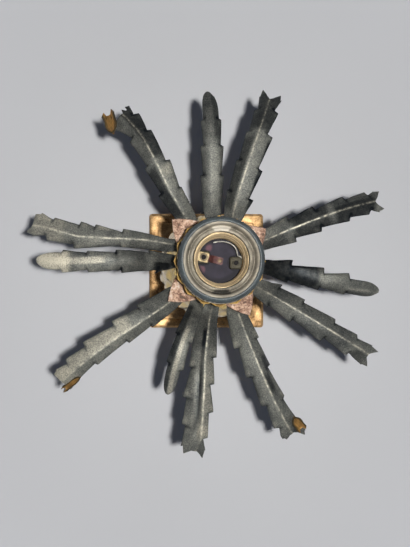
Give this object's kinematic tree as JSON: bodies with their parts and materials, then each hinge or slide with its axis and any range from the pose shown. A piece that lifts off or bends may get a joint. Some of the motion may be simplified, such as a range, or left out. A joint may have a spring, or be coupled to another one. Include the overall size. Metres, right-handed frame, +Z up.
{
  "type": "pineapple table lamp",
  "caption": "Metal table lamp in the form of a pineapple, with a square base, a scaled body, a crown of serrated leaves and a screw lampholder with a shade ring.",
  "frame": {"origin": "centre of the felt pad's underside, on the lamp's axis", "axes": "+Z up along the lamp's axis, +X to the right in a view from above, +Y to the rear wall with the cord inlet"},
  "size_m": [0.2056, 0.212, 0.2596],
  "materials": {
    "felt": "matte felt",
    "base_gilt": "aged gilt with brown patina",
    "polished_brass": "polished",
    "plain_brass": "unpolished",
    "leaf_gunmetal": "dark gunmetal patina, worn",
    "calyx_copper": "dull pink copper",
    "gallery_gilt": "gilt, tarnished",
    "holder_nickel": "tarnished nickel plate",
    "shell_brass": "satin",
    "contact_brass": "satin",
    "contact_nickel": "satin",
    "black_bakelite": "satin black",
    "brown_bakelite": "dull purple brown"
  },
  "bodies": {
    "stand": {"felt_pad": "felt", "base_plinth": "base_gilt", "cord_bush": "black_bakelite", "turned_foot": "polished_brass", "pineapple_body": "polished_brass", "threaded_tube": "plain_brass", "base_washer": "plain_brass", "base_nut": "plain_brass", "crown_cup": "plain_brass", "leaf_clamp": "plain_brass", "crown_nut": "plain_brass", "spacer_tube": "plain_brass", "leaf_forked_1": "leaf_gunmetal", "leaf_forked_2": "leaf_gunmetal", "leaf_forked_3": "leaf_gunmetal", "leaf_forked_4": "leaf_gunmetal", "leaf_forked_5": "leaf_gunmetal", "leaf_forked_6": "leaf_gunmetal", "leaf_forked_7": "leaf_gunmetal", "leaf_forked_8": "leaf_gunmetal", "leaf_round_1": "leaf_gunmetal", "leaf_round_2": "leaf_gunmetal", "leaf_round_3": "leaf_gunmetal", "leaf_round_4": "leaf_gunmetal", "calyx": "calyx_copper", "gallery": "gallery_gilt", "holder_cap": "holder_nickel", "holder_skirt": "holder_nickel", "insulator": "brown_bakelite", "screw_shell": "shell_brass", "terminal_left": "contact_brass", "terminal_right": "contact_brass", "terminal_screw_left": "contact_brass", "terminal_screw_right": "contact_brass"},
    "ring": {"shade_ring": "black_bakelite"},
    "centre_tongue": {"centre_contact": "contact_brass"},
    "side_strip": {"side_contact": "contact_nickel"}
  },
  "joints": [
    {"name": "shade_ring_unscrew", "type": "slide", "parent": "stand", "child": "ring", "axis": [0, 0, 1], "range_m": [0, 0.0075]},
    {"name": "centre_contact_press", "type": "hinge", "parent": "stand", "child": "centre_tongue", "pos_m": [-0.00844, 0.00211, 0.23535], "axis": [0.2419, 0.9703, 0], "range_deg": [0, 5], "stiffness_Nm_per_rad": 0.4},
    {"name": "side_contact_press", "type": "hinge", "parent": "stand", "child": "side_strip", "pos_m": [0.01127, 0.00081, 0.236], "axis": [0, 0, -1], "range_deg": [0, 3], "stiffness_Nm_per_rad": 0.2}
  ]
}
